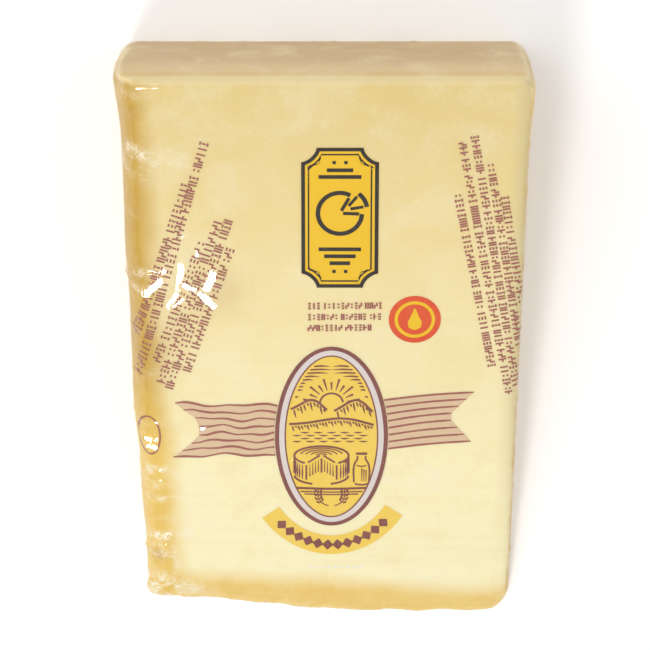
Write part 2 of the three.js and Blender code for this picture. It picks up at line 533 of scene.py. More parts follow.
def film_material():
    """Clear glossy film. Light passes it freely on its way to the cheese."""
    material, shader = new_material("clear film")
    place = shader.object_place()
    slack, creases = shader.noise(place, 7), shader.noise(place, 1.6)
    height = shader.math("MULTIPLY_ADD", creases, 0.15, slack)
    height = shader.math("SUBTRACT", height, FILM_NOISE_MIDDLE)
    loose = shader.math("SUBTRACT", 1.0, shader.attribute("taut"))
    normal = shader.bump(shader.math("MULTIPLY", height, loose), 0.3)
    glass = shader.add("ShaderNodeBsdfPrincipled", {
        "Base Color": (1, 1, 1, 1), "Roughness": 0.04, "IOR": 1.48,
        "Transmission Weight": 1.0, "Normal": normal})
    clear = shader.add("ShaderNodeBsdfTransparent", {"Color": (1, 1, 1, 1)})
    rays = shader.add("ShaderNodeLightPath").outputs
    passing = shader.math("MAXIMUM", rays["Is Shadow Ray"], rays["Is Diffuse Ray"])
    facing = shader.add("ShaderNodeLayerWeight", {"Blend": 0.5}).outputs["Facing"]
    passing = shader.math("MAXIMUM", passing, shader.fade(facing, 0.6, 0.95, 0.0, 0.75))
    inputs = {0: passing, 1: glass.outputs[0], 2: clear.outputs[0]}
    shader.surface(shader.add("ShaderNodeMixShader", inputs))
    return material


def ink_material(name, tone, thin_tone, wear):
    """Printed ink, with thin places where the cheese shows through."""
    material, shader = new_material(name)
    place = shader.object_place()
    mottle = shader.group(SOFT_MOTTLE, {"Place": place, "Cloud size": 8, "Grain share": 0.4})
    worn = shader.group(INK_WEAR, {"Place": place, "Amount": wear})
    painted = shader.tint(tone, thin_tone, mottle, 0.3, 0.7, 0.3)
    painted = shader.blend(worn, painted, thin_tone)
    rough = shader.fade(shader.noise(place, 0.5), 0.2, 0.8, 0.42, 0.62)
    shader.surface(shader.add("ShaderNodeBsdfPrincipled", {
        "Base Color": painted, "Roughness": rough, "Specular IOR Level": 0.3}))
    return material


# ---------------------------------------------------------------- the film's wrinkles

def bell(distance):
    return np.exp(-distance ** 2)


def ridge(distance):
    """A raised fold with a slight hollow on both sides."""
    return bell(distance) - 0.3 * bell(distance / 2.5)


# The two faces that meet at each edge of the wedge, and the way along the edge.
EDGES = {
    "sawn_top": ("sawn", "top", "along"),
    "rind_top": ("rind", "top", "along"),
    "heel_top": ("heel", "top", "across"),
    "tip_top": ("tip", "top", "across"),
    "sawn_heel": ("sawn", "heel", "above"),
    "rind_heel": ("rind", "heel", "above"),
    "sawn_base": ("sawn", "above", "along"),
    "rind_base": ("rind", "above", "along"),
    "heel_base": ("heel", "above", "across"),
}

# How a fold wavers from side to side on its way over an edge: how far, and how slowly.
WAVER = 0.7
WAVER_LENGTH = 4.3

# The folds that the sawn shoulder shows: place along it, width, height, how far they run
# down the sawn wall and over the upper face, and how pale they look, a paleness painted on the
# cheese that is partly painted reflection. Each leans by up to the share given below, some
# forwards and some backwards.
SHOULDER_PLEATS = [
    (178, 1.8, 0.06, 16, 11, 0.3), (173, 1.8, 0.08, 20, 9, 0.1), (158.5, 1.8, 0.16, 18, 15, 0.5),
    (154.5, 1.6, 0.12, 22, 9, 0.35), (141, 1.8, 0.12, 18, 6, 0.1), (121, 0.9, 0.6, 15, 10, 0.5),
    (117.5, 1.0, 0.5, 20, 7, 0.35), (103, 1.3, 0.3, 18, 6, 0.1), (88, 1.2, 0.35, 16, 7, 0.15),
    (73, 1.0, 0.4, 14, 8, 0.2), (56, 0.9, 0.6, 13, 9, 0.5), (52.5, 0.8, 0.5, 16, 7, 0.35),
    (47, 0.9, 0.5, 12, 8, 0.3), (39, 0.9, 0.4, 10, 7, 0.2), (33, 0.8, 0.6, 9, 9, 0.5),
    (28, 0.7, 0.5, 9, 7, 0.35),
]
SHOULDER_LEAN = 0.12

# How many folds the other edges get: edge, count, from, to, reach over both faces.
LOOSE_PLEATS = [
    ("rind_top", 8, 20, 176, 5, 4), ("heel_top", 5, -50, 50, 6, 1.5),
    ("tip_top", 14, -46, 50, 5, 9), ("sawn_heel", 5, 5, 50, 8, 5),
    ("rind_heel", 5, 5, 50, 5, 8), ("sawn_base", 13, 22, 172, 7, 2),
    ("rind_base", 13, 22, 172, 7, 2), ("heel_base", 10, -52, 52, 7, 2),
]

# Folds on the upper face, from one point to the other: u, v, u, v, width, height.
FACE_FOLDS = [
    (-49.9, 187.0, -45.3, 176.5, 0.8, 0.15), (-43.0, 168.0, -38.0, 160.5, 1.0, 0.25),
    (-50.5, 92.0, -46.0, 86.0, 0.9, 0.3), (36.0, 150.0, 44.0, 158.0, 0.9, 0.15),
    (-20.0, 25.0, -12.0, 21.0, 0.9, 0.2), (28.0, 20.0, 38.0, 24.0, 0.9, 0.2),
    (-30.0, 34.0, -24.0, 40.0, 0.9, 0.2), (-27.0, 128.0, -23.0, 118.0, 1.2, 0.2),
    (-50.6, 33.2, -46.2, 34.4, 0.8, 0.25), (-45.8, 30.0, -45.1, 24.0, 0.6, 0.2),
    (-45.1, 23.4, -42.0, 24.4, 0.6, 0.2),
]

# A small round dimple near the sawn corner of the tip: u, v, radius. Its rim is a low fold.
DIMPLE = (-49.2, 28.2, 2.3)
RIM_HEIGHT = 0.35
RIM_WIDTH = 0.7

# Where the film stands off in small flat facets that mirror the lamp, each from one point to
# the other: u, v, u, v, half width.
SHINING_FACETS = [
    (-41.7, 124.3, -43.0, 115.6, 1.1), (-43.2, 115.6, -45.6, 111.8, 1.0),
    (-41.0, 118.4, -36.4, 116.4, 1.0), (-36.2, 115.8, -32.4, 112.2, 1.25),
    (-34.4, 117.6, -32.4, 121.6, 1.4), (-52.2, 115.7, -48.0, 119.3, 1.3),
    (-47.0, 122.4, -46.6, 123.0, 0.7),
    (-40.9, 132.9, -40.3, 133.7, 0.6), (-37.0, 127.9, -36.6, 128.8, 0.7),
    (-44.4, 111.5, -41.2, 113.6, 0.55), (-36.6, 70.6, -35.0, 71.7, 0.75),
    (-53.0, 67.4, -51.6, 66.6, 0.8), (-52.2, 65.0, -50.6, 64.0, 0.8),
    (-50.8, 66.6, -50.2, 67.0, 0.6), (-9.7, 60.0, -9.2, 60.5, 0.5),
    (23.8, 60.3, 24.2, 60.6, 0.45),
]

# How far from its line a facet ends, how wide its soft edge is and how ragged noise makes it,
# all in half widths. Its lowest corner has a small clearance over the pack's surface, and the
# surface's normal is never taken as further from the facet's than the cosine here.
FACET_END = 1.35
FACET_EDGE = 0.4
FACET_RAGGEDNESS = 0.25
FACET_CLEARANCE = 0.06
LEAST_COSINE = 0.3

# The crumpled ear of film at the sawn corner of the tip, the middle of the finer mesh that it
# needs, and the pucker on the face: u, v.
EAR = (-51, 15)
EAR_ZONE = (-50, 18)
PUCKER = (-40, 116)

# The noise of the slack film: height, size of its lumps, seed.
SLACK_NOISE = [(0.22, 5, 3), (0.10, 2, 5)]

# The film stays between these heights over the pack's surface.
LOWEST_FILM = -0.1
HIGHEST_FILM = 1.5


def near_the_edges(places):
    """Within a few millimetres of the rind edge of the upper face, and of its tip."""
    over_top = places.top.clip(0) + np.minimum(places.rind, places.tip).clip(0)
    return (over_top < 9) & (places.above > 1)


def near_the_sawn_shoulder(places, reach=16):
    return (places.top.clip(0) + places.sawn.clip(0) < reach) & (places.above > 1)


def where_it_puckers(places):
    """The sawn shoulder, the pucker beside it and the ear at the tip."""
    pucker = (places.top < 2) & (places.gap_to(*PUCKER, 15, 14) < 1)
    crumpled = pucker | (places.gap_to(*EAR_ZONE) < 12)
    return near_the_sawn_shoulder(places, 12) | (crumpled & (places.above > 1))


def where_it_shines(places):
    gaps = [places.gap_to_line(*ends)[0] - half_width for *ends, half_width in SHINING_FACETS]
    return (np.minimum.reduce(gaps) < 0.6) & (places.top < 3)


def pleat_shape(places, edge, at, width, reach_first, reach_second, lean, profile):
    """Where a fold across an edge of the wedge lies, from 0 to 1. It reaches over both faces."""
    first, second, along = EDGES[edge]
    first, second = getattr(places, first), getattr(places, second)
    side = first - second
    waver = WAVER * np.sin(side / WAVER_LENGTH + at)
    shift = (getattr(places, along) - at - lean * side - waver) / width
    reach = np.where(side > 0, reach_second, reach_first)
    from_edge = np.abs(side) + 0.6 * np.minimum(first, second).clip(0)
    return profile(shift) * bell(from_edge / reach)


def shoulder_pleat(places, at, width, down, over, profile):
    lean = SHOULDER_LEAN * math.sin(at)
    return pleat_shape(places, "sawn_top", at, width, down, over, lean, profile)


def face_fold(places, start_u, start_v, end_u, end_v, width, height):
    """A fold that is lower towards its ends."""
    gap, share = places.gap_to_line(start_u, start_v, end_u, end_v)
    taper = 0.35 + 0.65 * np.sin(np.pi * (0.15 + 0.7 * share))
    return height * taper * ridge(gap / width) * bell(places.top.clip(0) / 3)


def loose_pleat(places, edge, at, reach_first, reach_second, draw):
    """A fold of uneven width, height, lean and length."""
    width, rise = draw.uniform(0.8, 1.5), draw.uniform(0.15, 0.5)
    lean = draw.uniform(-0.3, 0.3)
    stretch = draw.uniform(0.6, 1.3)
    return rise * pleat_shape(places, edge, at, width, reach_first * stretch,
                              reach_second * stretch, lean, ridge)


def fold_heights(places):
    """The height of every single fold of the film, one after the other."""
    for at, width, rise, down, over, _ in SHOULDER_PLEATS:
        yield rise * shoulder_pleat(places, at, width, down, over, ridge)
    for fold in FACE_FOLDS:
        yield face_fold(places, *fold)
    *centre, radius = DIMPLE
    from_rim = places.gap_to(*centre) - radius
    yield RIM_HEIGHT * ridge(from_rim / RIM_WIDTH) * (places.top < 3)
    draw = random.Random(11)
    for edge, count, start, end, first_reach, second_reach in LOOSE_PLEATS:
        step = (end - start) / count
        for index in range(count):
            at = start + step * (index + draw.uniform(0.1, 0.9))
            yield loose_pleat(places, edge, at, first_reach, second_reach, draw)


def slackness(places):
    """How loose the film is along the sawn shoulder and the tip, less so near the heel."""
    shoulder = bell((places.sawn.clip(0) + places.top.clip(0)) / 9)
    tip = bell((places.tip.clip(0) + places.top.clip(0)) / 7)
    near_heel = ((places.along - 128) / 30).clip(0, 1)
    return np.maximum(shoulder, 0.6 * tip) * (1 - 0.8 * near_heel)


def on_face(u, v):
    """The place on the upper cut face, in millimetres."""
    return np.array(FACE_PLACE @ Vector((u * MM, v * MM, 0))) / MM


def mirror_normal(place):
    """Which way the film must face there to mirror the lamp to the camera."""
    to_lamp, to_camera = np.array(GLINT_LAMP) - place, np.array(CAMERA_PLACE) - place
    normal = to_lamp / np.linalg.norm(to_lamp) + to_camera / np.linalg.norm(to_camera)
    return normal / np.linalg.norm(normal)


def raise_facet(places, points, normals, height, ragged, start_u, start_v, end_u, end_v, half_width):
    """Lays a flat sloping patch over the film's height. Returns the height and the patch."""
    gap, _ = places.gap_to_line(start_u, start_v, end_u, end_v)
    inside = FACET_END - gap / half_width - FACET_RAGGEDNESS * ragged
    share = (inside / FACET_EDGE).clip(0, 1)
    patch = share ** 2 * (3 - 2 * share) * (places.top < 6)
    middle = (on_face(start_u, start_v) + on_face(end_u, end_v)) / 2
    facing = mirror_normal(middle)
    rise = (middle - points) @ facing / (normals @ facing).clip(LEAST_COSINE, 1)
    plane = rise - rise[gap < half_width].min() + FACET_CLEARANCE
    return height * (1 - patch) + plane * patch, patch


def wrinkle(film):
    """Raises the film's folds, crumples its ear and flattens its facets."""
    places = Places(film)
    height = sum(fold_heights(places))
    slack = slackness(places)
    height += sum(rise * slack * noise_field(film, size, seed) for rise, size, seed in SLACK_NOISE)
    crumple = 1 - 2 * np.abs(noise_field(film, 3.5, 8))
    height += bell(places.gap_to(*EAR) / 9) * (0.35 + 0.45 * crumple)

    ragged = noise_field(film, 1.3, 13)
    points, normals = coordinates(film) / MM, vectors(film.data.vertex_normals, "vector")
    taut = np.zeros(len(height))
    for facet in SHINING_FACETS:
        height, patch = raise_facet(places, points, normals, height, ragged, *facet)
        taut = np.maximum(taut, patch)
    add_attribute(film, "taut", taut)
    raised = points + normals * height.clip(LOWEST_FILM, HIGHEST_FILM)[:, None]
    raised[:, 2] = raised[:, 2].clip(0)
    place_vertices(film, raised * MM)


# ---------------------------------------------------------------- flat shapes for the print

OVAL_SIDES = 72
CORNER_SEGMENTS = 8
STROKE_STEPS = 5


def set_down(piece, u, v):
    """Moves a flat shape to its place on the face."""
    piece.location = (u * MM, v * MM, 0)
    only(piece)
    bpy.ops.object.transform_apply(location=True, rotation=True, scale=True)
    return piece


def disc(u, v, half_width, half_height=None, sides=OVAL_SIDES):
    bpy.ops.mesh.primitive_circle_add(vertices=sides, radius=1, fill_type="NGON")
    piece = bpy.context.object
    piece.scale = (half_width * MM, (half_height or half_width) * MM, 1)
    return set_down(piece, u, v)


def block(u, v, width, height, corner, corner_profile):
    """A rectangle. Its corners are round at a profile of 0.5, and hollow near 0."""
    bpy.ops.mesh.primitive_plane_add(size=1)
    piece = bpy.context.object
    piece.scale = (width * MM, height * MM, 1)
    bpy.ops.object.transform_apply(location=False, rotation=False, scale=True)
    with editing(piece, "VERT"):
        bpy.ops.mesh.bevel(offset=corner * MM, segments=CORNER_SEGMENTS, affect="VERTICES",
                           profile=corner_profile)
    return set_down(piece, u, v)


def inner_part(piece, margin):
    """Keeps the flat shape's inside, margin in from its outline."""
    with editing(piece):
        bpy.ops.mesh.inset(thickness=margin * MM)
        bpy.ops.mesh.select_all(action="INVERT")
        bpy.ops.mesh.delete(type="FACE")
    return piece


def outline_band(piece, width):
    """Keeps a band of the flat shape along its outline."""
    with editing(piece):
        bpy.ops.mesh.inset(thickness=width * MM)
        bpy.ops.mesh.delete(type="FACE")
    return piece


def strokes(lines):
    """Pen strokes, each given by its points and its width, in one flat piece.

    A point is u, v and, where the stroke thins or swells there, its share of the width."""
    bpy.ops.curve.primitive_bezier_curve_add()
    piece = bpy.context.object
    curve = piece.data
    curve.splines.clear()
    curve.dimensions = "3D"
    curve.twist_mode = "Z_UP"
    curve.bevel_mode = "OBJECT"
    curve.bevel_object = PEN
    curve.resolution_u = STROKE_STEPS
    for points, width in lines:
        spline = curve.splines.new("BEZIER")
        spline.bezier_points.add(len(points) - 1)
        for knot, point in zip(spline.bezier_points, points):
            u, v, share = (*point, 1.0)[:3]
            knot.co = (u * MM, v * MM, 0)
            knot.radius = width * share
            knot.handle_left_type = knot.handle_right_type = "AUTO"
    only(piece)
    bpy.ops.object.convert(target="MESH")
    return bpy.context.object


def pen():
    """The nib of the pen: a straight line, one millimetre long."""
    bpy.ops.curve.primitive_bezier_curve_add()
    piece = bpy.context.object
    piece.name = "pen"
    piece.data.splines.clear()
    spline = piece.data.splines.new("POLY")
    spline.points.add(1)
    spline.points[0].co = (-0.5 * MM, 0, 0, 1)
    spline.points[1].co = (0.5 * MM, 0, 0, 1)
    return piece


# ---------------------------------------------------------------- the print's design

def moved(points, u, v):
    return [(u + point[0], v + point[1], *point[2:]) for point in points]


def oval_point(u, v, angle, half_width, half_height=None):
    """The point of a circle or an oval that lies in that direction from its middle."""
    return (u + half_width * math.cos(angle), v + (half_height or half_width) * math.sin(angle))


def arc(u, v, half_width, half_height, start, end, steps=10):
    """Points on an oval, from one angle to another in degrees."""
    angles = np.radians(np.linspace(start, end, steps))
    return [oval_point(u, v, angle, half_width, half_height) for angle in angles]


# Where the print's parts lie on the face and how big they are: the medallion with its half
# width and half height, its rings from the outside in and the half axes of its drawing, the
# plaque with its borders, the roundel and the small oval.
MEDALLION = (2.4, 67.9)
MEDALLION_HALVES = (17.0, 30.3)
DRAWING_HALVES = (12.7, 26.0)
RING_WIDTH = 1.25
PALE_WIDTH = 1.6
THIN_WIDTH = 0.45
PLAQUE = (4.8, 139.6)
PLAQUE_SIZE = (22.5, 44)
PLAQUE_CORNER = 4.5
HOLLOW_PROFILE = 0.12
PLAQUE_BORDER = 1.1
INNER_BORDER_MARGIN = 1.9
INNER_BORDER = 0.45
ROUNDEL = (27.0, 107.2)
ROUNDEL_RADIUS = 7.7
ROUNDEL_MARGIN = 1.7
ROUNDEL_RING = 1.0
DROP_WIDTH = 4.2
SMALL_OVAL = (-52.6, 68.1, 3.6, 6.6)
SMALL_OVAL_RING = 0.45

# The banner under the medallion: how much lower than the medallion's its middle is, the
# half axes that it follows, and the width of the strip and the size of its marks.
BANNER_DROP = 4.5
BANNER_SIZE = (24.5, 32.5)
BANNER_WIDTH = 6.4
MARK_WIDTH = 3.6
MARK_REACH = 1.6

# The row of pale dashes: its v, where each dash starts, and a dash's length and width.
DASHES_V = 23.2
DASH_STARTS = np.arange(-4.5, 12, 1.9)
DASH_LENGTH = 1.1
DASH_WIDTH = 0.9


def medallion_disc(margin=0.0):
    whole = disc(*MEDALLION, *MEDALLION_HALVES, sides=120)
    return inner_part(whole, margin) if margin else whole


# The medallion's drawing is made of pen strokes around its middle, and is then moved there.

WHEAT_STEPS = 6
WHEAT_BEND = 0.9


def wheat_ear(u, v, turn, length):
    """A bent stalk with pairs of grains, as pen strokes."""
    stalk = [oval_point(u, v, turn + WHEAT_BEND * share, length * share)
             for share in (step / WHEAT_STEPS for step in range(WHEAT_STEPS + 1))]
    lines = [(stalk, 0.35)]
    for (start_u, start_v), (end_u, end_v) in zip(stalk[2:], stalk[3:]):
        angle = math.atan2(end_v - start_v, end_u - start_u)
        for side in (-1, 1):
            lean = angle + 0.75 * side
            base = oval_point(start_u, start_v, lean, 0.45)
            belly = oval_point(start_u, start_v, lean, 1.2)
            tip = oval_point(start_u, start_v, lean - 0.2 * side, 2.0)
            lines.append(([(*base, 0.4), (*belly, 1.0), (*tip, 0.2)], 0.7))
    return lines


def sky_lines():
    """The sun with its rays, and level strokes across the sky on both sides of them."""
    sun, disc_radius, ray_start, long_ray, short_ray, clear_radius = 11.2, 3.5, 4.7, 8.6, 7.2, 9.6
    lines = [(arc(0, sun, disc_radius, disc_radius, 8, 172), 0.6)]
    for index in range(11):
        angle = math.radians(10 + 16 * index)
        ray_end = short_ray if index % 2 else long_ray
        lines.append(([(*oval_point(0, sun, angle, ray_start), 0.4),
                       (*oval_point(0, sun, angle, ray_end), 1.0)], 0.7))
    for row in range(10):
        high = 13.4 + 1.15 * row
        outer = drawing_half_width(high)
        clear = math.sqrt(max(0.0, clear_radius ** 2 - (high - sun) ** 2))
        inner = clear + 0.5 + 0.5 * math.sin(2.1 * row)
        if outer - inner > 1:
            for side in (-1, 1):
                lines.append(([(side * inner, high, 0.2), (side * (inner + outer) / 2, high + 0.15),
                               (side * outer, high, 0.9)], 0.55))
    return lines


# The hills: where each starts and ends, the height of its foot, its own height and how far
# its hatching reaches down.
HILLS = [(-12.2, -1.4, 9.4, 2.8, 2.9), (0.8, 12.3, 8.8, 3.3, 3.0), (-12.7, 12.7, 4.4, 1.5, 1.9)]


def crest_point(start, end, foot, height, share):
    return (start + (end - start) * share,
            foot + height * math.sin(math.pi * share) - 0.5 * math.sin(7 * share))


def hill_lines():
    """The hills, each with slanted hatching under its crest, and a field before them."""
    lines = []
    for *hill, depth in HILLS:
        lines.append(([crest_point(*hill, step / 10) for step in range(11)], 0.75))
        count = int((hill[1] - hill[0]) / 0.9)
        for index in range(1, count):
            u, v = crest_point(*hill, index / count)
            long = depth * (0.65 + 0.35 * math.sin(2.3 * index))
            lines.append(([(u, v - 0.75, 0.8), (u + 0.25, v - 0.75 - 0.5 * long),
                           (u + 0.6, v - 0.75 - long, 0.25)], 0.56))
    for row in range(4):
        low = 1.6 - 1.0 * row
        for index in range(7):
            middle = -12 + 4 * index + 1.6 * (row % 2)
            if abs(middle) < drawing_half_width(low) - 1.6:
                lines.append(([(middle - 1.3, low, 0.3), (middle, low - 0.12), (middle + 1.3, low, 0.3)],
                              0.55))
    return lines


def wheel_lines():
    """A wheel of cheese with a wedge cut out of its front."""
    u, top, half, flat, tall = -3.0, -6.3, 8.2, 3.2, 6.6
    lines = [(arc(u, top, half, flat, -52, 232, 22), 0.65),
             (arc(u, top - tall, half, flat, 184, 250, 8), 0.65),
             (arc(u, top - tall, half, flat, 290, 356, 8), 0.65),
             ([(u, top - 0.9), (u, top - tall + 0.8)], 0.55)]
    for side in (-1, 1):
        cut_u, cut_v = u + side * half * 0.56, top - flat * 0.83
        lines.append(([(u + side * half, top - 0.9), (u + side * half, top - tall + 0.8)], 0.65))
        lines.append(([(cut_u, cut_v - 0.6), (cut_u, cut_v - tall + 1.1)], 0.55))
        lines.append(([(u + side * 0.5, top + 0.1), (cut_u - side * 0.5, cut_v + 0.35)], 0.55))
        for step in range(1, 6):
            angle = math.radians(270 + side * (36 + 9 * step))
            side_u, rim = oval_point(u, top, angle, half, flat)
            start = rim - 0.8
            lines.append(([(side_u, start, 0.4), (side_u, start - tall * 0.45, 1.0),
                           (side_u, start - tall + 1.7, 0.4)], 0.5))
        for step in range(4):
            near = u + side * (0.95 + 0.85 * step)
            high = top - 1.4 - 0.55 * step
            lines.append(([(near, high, 0.4), (near, high - tall + 2.6, 1.0)], 0.38))
    for step in range(4):
        share = (step + 1) / 5
        lines.append((arc(u, top, half * share, flat * share, 15, 165, 8), 0.38))
    return lines


def churn_lines():
    """A milk churn beside the wheel."""
    middle, foot = 9.1, -15.6
    side_line = [(2.3, 0.3), (2.3, 5.6), (1.9, 7.0), (1.25, 8.2), (1.25, 9.2)]
    lines = []
    for side in (-1, 1):
        lines.append(([(middle + side * u, foot + v) for u, v in side_line], 0.55))
    lines.append((arc(middle, foot, 2.0, 0.6, 190, 350, 6), 0.55))
    lines.append(([(middle - 1.7, foot + 10.0), (middle + 1.7, foot + 10.0)], 0.8))
    lines.append(([(middle - 1.5, foot + 6.0), (middle, foot + 5.7), (middle + 1.5, foot + 6.0)], 0.4))
    for step in range(3):
        u = middle + 0.1 + 0.65 * step
        lines.append(([(u, foot + 0.6, 0.5), (u, foot + 5.0 - 0.3 * step, 1.0)], 0.4))
    return lines


def board_lines():
    """The board they stand on, its shade, and a sprig of wheat on both sides below."""
    lines = [([(-10.6, -17.3), (0, -17.6), (10.6, -17.3)], 0.75)]
    for row in range(2):
        low, half = -18.5 - 0.85 * row, 9.4 - 1.2 * row
        lines.append(([(-half, low), (0, low - 0.25), (half, low)], 0.42))
    for side in (-1, 1):
        for points, width in wheat_ear(0.9, -23.4, math.radians(10), 6.4):
            lines.append(([(side * point[0], *point[1:]) for point in points], width))
    return lines


def drawing_half_width(high):
    """How far the medallion's drawing may reach at a height above its middle."""
    half_width, half_height = DRAWING_HALVES
    return half_width * math.sqrt(max(0.0, 1 - (high / half_height) ** 2))


def landscape_lines():
    """Hills under a rising sun, with a cut wheel of cheese on a board before them."""
    lines = sky_lines() + hill_lines() + wheel_lines() + churn_lines() + board_lines()
    return [(moved(points, *MEDALLION), width) for points, width in lines]


# The stripes beside the medallion, on the left (-1) and on the right (1): where each ends,
# and how high the first one starts.
STRIPE_ENDS = {-1: (-44.5, -42.0, -38.6, -37.4, -37.4, -39.8, -42.6, -45.4),
               1: (45.0, 42.8, 40.6, 38.4, 38.4, 40.3, 42.5, 44.4)}
STRIPE_TOPS = {-1: 78.4, 1: 80.3}
STRIPE_PITCH = 2.33
STRIPE_STEPS = 10
STRIPE_GAPS = 7
STRIPE_CLEARANCE = 0.25


def stripe_path(side, index):
    """The middle line of one stripe. Those on the left are wavier."""
    low = STRIPE_TOPS[side] - STRIPE_PITCH * index
    start, end = medallion_edge(low, side), STRIPE_ENDS[side][index]
    path = []
    for step in range(STRIPE_STEPS + 1):
        share = step / STRIPE_STEPS
        if side < 0:
            rise = 0.42 * math.sin(2.6 * math.pi * share + 0.55 * index)
            rise += 0.3 * math.sin(5.1 * math.pi * share - 0.9 * index)
            rise += 1.2 * share * (0.5 - index / STRIPE_GAPS)
        else:
            rise = 2.6 * share + 0.35 * math.sin(math.pi * share)
        path.append((start + (end - start) * share, low + rise))
    return path


def stripe_lines():
    lines = []
    for side in (-1, 1):
        for index in range(STRIPE_GAPS + 1):
            path = stripe_path(side, index)
            swell = 0.24 if side < 0 else 0.05
            shares = [0.9 + swell * math.sin(0.9 * step + 1.7 * index) for step in range(len(path))]
            shares[-1] = 0.45
            lines.append(([(*point, share) for point, share in zip(path, shares)], 0.68))
    return lines


def stripe_tint():
    """The beige ground between the stripes: a grid whose rows follow them."""
    grounds = []
    for side in (-1, 1):
        bpy.ops.mesh.primitive_grid_add(x_subdivisions=STRIPE_STEPS,
                                        y_subdivisions=STRIPE_GAPS, size=1)
        ground = bpy.context.object
        places = coordinates(ground)
        columns = np.round((places[:, 0] + 0.5) * STRIPE_STEPS).astype(int)
        rows = np.round((places[:, 1] + 0.5) * STRIPE_GAPS).astype(int)
        paths = [stripe_path(side, index) for index in range(STRIPE_GAPS + 1)]
        for place, column, row in zip(places, columns, rows):
            place[:2] = np.array(paths[STRIPE_GAPS - row][column]) * MM
        place_vertices(ground, places)
        grounds.append(ground)
    return grounds


def medallion_edge(v, side):
    """Where a stripe starts: just outside the medallion's ring at that height."""
    half_width, half_height = MEDALLION_HALVES
    share = (v - MEDALLION[1]) / half_height
    return MEDALLION[0] + side * (half_width * math.sqrt(1 - share ** 2) + STRIPE_CLEARANCE)


def plaque_shape():
    return block(*PLAQUE, *PLAQUE_SIZE, PLAQUE_CORNER, HOLLOW_PROFILE)


def plaque_lines():
    """The plaque's drawing: a wheel with a slice drawn out, between rows of bars."""
    u, v = PLAQUE
    wheel_v, radius, rim_width = v + 1.5, 6.4, 1.3
    lines = [(arc(u, wheel_v, radius, radius, 62, 358, 26), rim_width)]
    for angle in (62, 358):
        way = math.radians(angle)
        lines.append(([oval_point(u, wheel_v, way, 0.9), oval_point(u, wheel_v, way, 5.6, 5.4)], 1.0))
    slice_u, slice_v = u + 1.5, wheel_v + 1.1
    lines.append((arc(slice_u, slice_v, radius, radius, 8, 52, 8), rim_width))
    for angle in (10, 50):
        way = math.radians(angle)
        ends = [oval_point(slice_u, slice_v, way, reach) for reach in (1.6, 5.4)]
        lines.append((ends, 0.9))
    for half, low in ((6.2, 12.9), (3.8, 15.0), (6.2, -9.8), (4.6, -12.0), (3.0, -14.2)):
        lines.append(([(u - half, v + low), (u + half, v + low)], 1.15))
    for side in (-1, 1):
        for low in (17.4, -16.8):
            lines.append(([(u + side * 1.7 - 0.5, v + low), (u + side * 1.7 + 0.5, v + low)], 1.0))
    return lines


# The patterns of the small print: bars across a cell one unit wide and high, each given by
# its two ends.
CELLS = [
    [((0.15, 0), (0.15, 1)), ((0.85, 0), (0.85, 1))],
    [((0.5, 0), (0.5, 1))],
    [((0.15, 0), (0.15, 1)), ((0.4, 0.5), (0.95, 0.5))],
    [((0.1, 0.08), (0.9, 0.08)), ((0.1, 0.92), (0.9, 0.92)), ((0.5, 0.28), (0.5, 0.72))],
    [((0.15, 0), (0.15, 0.6)), ((0.85, 0.4), (0.85, 1)), ((0.4, 0.5), (0.6, 0.5))],
    [((0.1, 0.1), (0.9, 0.1)), ((0.1, 0.5), (0.9, 0.5)), ((0.1, 0.9), (0.9, 0.9))],
    [((0.2, 0.25), (0.8, 0.25)), ((0.2, 0.75), (0.8, 0.75))],
]
BAR_WIDTH = 0.5

# The widths of a cell and the gaps after a cell and after a group, in heights of the row.
CELL_WIDTHS = (0.42, 0.52)
CELL_GAP = 0.19
GROUP_GAP = 0.3


def small_print(start, end, height, draw):
    """A row of bar patterns, in groups of a few, from one point to another."""
    run = Vector((end[0] - start[0], end[1] - start[1]))
    length = run.length
    run.normalize()
    up = Vector((-run.y, run.x))
    lines, along, left_in_group = [], 0.0, draw.randint(3, 8)
    while along < length:
        wide = height * draw.uniform(*CELL_WIDTHS)
        for ends in draw.choice(CELLS):
            lines.append(([tuple(Vector(start) + run * (along + wide * x) + up * height * y)
                           for x, y in ends], BAR_WIDTH))
        along += wide + height * CELL_GAP
        left_in_group -= 1
        if left_in_group == 0:
            along += height * GROUP_GAP
            left_in_group = draw.randint(3, 10)
    return lines


# The slanted columns of small print, and the note beside the roundel: each row's two ends.
LEFT_ROWS = [
    ((-54.2, 88.0), (-33.0, 163.0)), ((-54.6, 101.0), (-38.2, 151.0)),
    ((-48.6, 92.8), (-34.6, 131.0)), ((-47.4, 85.8), (-29.6, 137.6)),
    ((-45.0, 83.8), (-26.4, 138.4)), ((-39.6, 89.6), (-26.0, 129.4)),
]
RIGHT_ROWS = [
    ((37.8, 147.0), (49.0, 91.4)), ((38.8, 163.0), (54.2, 83.0)),
    ((42.3, 165.2), (56.4, 85.5)), ((47.1, 156.6), (57.0, 98.5)),
    ((51.4, 146.4), (57.2, 113.0)),
]
NOTE_ROWS = [((-4.6, 110.6), (16.5, 110.8)), ((-4.6, 107.0), (17.4, 107.2)),
             ((-4.6, 103.4), (14.2, 103.6))]
ROW_HEIGHTS = (2.6, 2.3, 2.0)


def small_print_lines():
    draw = random.Random(5)
    lines = []
    for rows, height in zip((LEFT_ROWS, RIGHT_ROWS, NOTE_ROWS), ROW_HEIGHTS):
        for start, end in rows:
            lines += small_print(start, end, height, draw)
    return lines


def banner_points():
    """The strip under the medallion, which follows its curve."""
    return arc(MEDALLION[0], MEDALLION[1] - BANNER_DROP, *BANNER_SIZE, 221, 321, 15)


